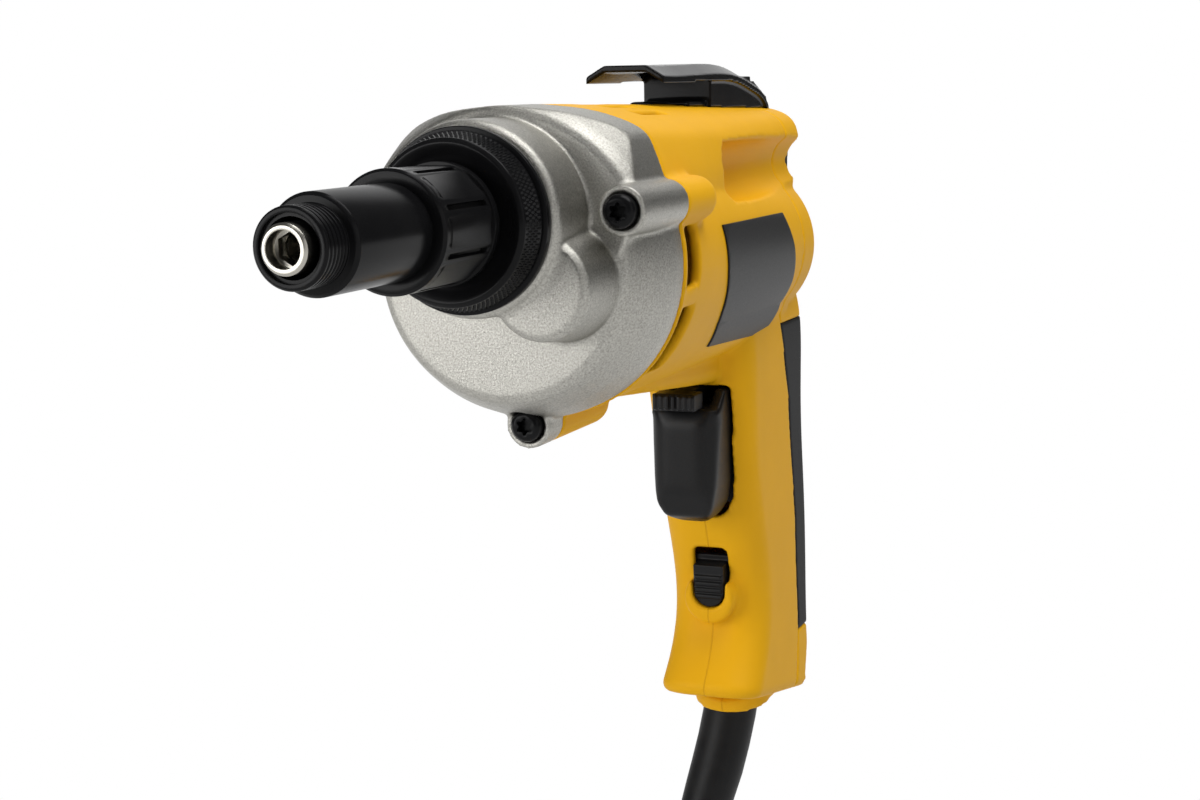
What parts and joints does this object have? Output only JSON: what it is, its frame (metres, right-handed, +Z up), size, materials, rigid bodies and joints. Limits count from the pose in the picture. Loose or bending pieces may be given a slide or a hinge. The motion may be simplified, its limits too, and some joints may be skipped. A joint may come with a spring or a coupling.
{
  "type": "corded electric screwdriver",
  "caption": "Corded pistol-grip electric screwdriver with a cast gear case, adjustable clutch nose, trigger, belt hook and a coiled mains lead.",
  "frame": {"origin": "middle of the hand grip, on the centre plane", "axes": "+X forward along the spindle, +Y to the tool's left, +Z up"},
  "size_m": [0.3559, 0.0844, 0.4501],
  "materials": {
    "yellow_plastic": "fine moulded grain, satin",
    "black_plastic": "satin moulded",
    "black_metal": "black oxide, semi gloss",
    "cast_case": "bead blasted casting",
    "steel": "ground steel",
    "core_steel": "stacked laminations",
    "copper": "enamelled copper",
    "bronze": "sintered bronze",
    "carbon": "pressed carbon",
    "grip_rubber": "soft matt rubber",
    "cord_rubber": "smooth cord jacket",
    "label": "bare dark foil",
    "contact_brass": "bare blades"
  },
  "bodies": {
    "housing": {"nose_sleeve": "black_metal", "nose_bush": "black_metal", "faceted_sleeve": "black_metal", "gear_case": "cast_case", "gear_case_screws": "black_metal", "main_housing": "yellow_plastic", "rear_cover": "yellow_plastic", "rear_cover_screws": "black_metal", "grip_insert": "grip_rubber", "saddle_pad": "grip_rubber", "label_plate_left": "label", "label_plate_right": "label", "belt_hook": "black_metal", "belt_hook_screws": "black_metal", "switch_body": "black_plastic", "front_motor_bearing_outer": "steel", "rear_motor_bearing_outer": "steel", "motor_bearing_balls": "steel", "field_core": "core_steel", "field_windings": "copper", "brush_holders": "bronze", "carbon_brushes": "carbon", "bearing_plate": "cast_case", "shaft_bushes": "bronze", "spindle_front_bush": "bronze", "cord_boot": "cord_rubber", "power_cord": "cord_rubber", "cord_coil": "cord_rubber", "cord_tie": "black_plastic", "plug_body": "cord_rubber", "plug_blades": "contact_brass", "cord_clamp": "black_plastic", "cord_clamp_screws": "steel"},
    "armature": {"armature_shaft": "steel", "armature_core": "core_steel", "armature_windings": "copper", "commutator": "copper", "cooling_fan": "black_plastic", "motor_pinion": "steel", "front_motor_bearing_inner": "steel", "rear_motor_bearing_inner": "steel"},
    "intermediate": {"intermediate_shaft": "steel", "intermediate_gear": "steel", "intermediate_pinion": "steel"},
    "spindle": {"output_spindle": "steel", "spindle_gear": "steel", "clutch_plate": "steel", "clutch_balls": "steel", "clutch_spring": "steel"},
    "bit": {"bit_holder": "steel", "bit_retaining_ring": "steel"},
    "collar": {"adjusting_collar": "black_metal"},
    "nut": {"adjusting_nut": "steel"},
    "trigger_body": {"trigger": "black_plastic"},
    "lever": {"reversing_lever": "black_plastic"},
    "slider": {"lock_slider": "black_plastic"}
  },
  "joints": [
    {"name": "armature_spin", "type": "hinge", "parent": "housing", "child": "armature", "pos_m": [0.1, 0, 0.104], "axis": [1, 0, 0], "continuous": true},
    {"name": "intermediate_spin", "type": "hinge", "parent": "housing", "child": "intermediate", "pos_m": [0.18, 0.01766, 0.10138], "axis": [1, 0, 0], "continuous": true},
    {"name": "spindle_spin", "type": "hinge", "parent": "housing", "child": "spindle", "pos_m": [0.2, 0, 0.118], "axis": [1, 0, 0], "continuous": true},
    {"name": "bit_push", "type": "slide", "parent": "spindle", "child": "bit", "axis": [-1, 0, 0], "range_m": [0, 0.003], "stiffness_N_per_m": 300},
    {"name": "collar_turn", "type": "hinge", "parent": "housing", "child": "collar", "pos_m": [0.21, 0, 0.118], "axis": [1, 0, 0], "range_deg": [0, 300]},
    {"name": "nut_feed", "type": "slide", "parent": "housing", "child": "nut", "axis": [-1, 0, 0], "range_m": [0, 0.002]},
    {"name": "trigger_pull", "type": "slide", "parent": "housing", "child": "trigger_body", "axis": [-1, 0, 0], "range_m": [0, 0.007], "stiffness_N_per_m": 400, "springref_m": -0.004},
    {"name": "reverse_swing", "type": "hinge", "parent": "housing", "child": "lever", "pos_m": [0.016, 0, 0.05075], "axis": [0, 0, 1], "range_deg": [-7, 7]},
    {"name": "lock_slide", "type": "slide", "parent": "housing", "child": "slider", "axis": [0.0808, 0, 0.9967], "range_m": [0, 0.005], "stiffness_N_per_m": 150, "springref_m": -0.003}
  ],
  "couplings": [
    {"joint": "intermediate_spin", "follows": "armature_spin", "ratio": -0.22222},
    {"joint": "spindle_spin", "follows": "armature_spin", "ratio": 0.074074},
    {"joint": "nut_feed", "follows": "collar_turn", "m_per_rad": 0.00038}
  ]
}
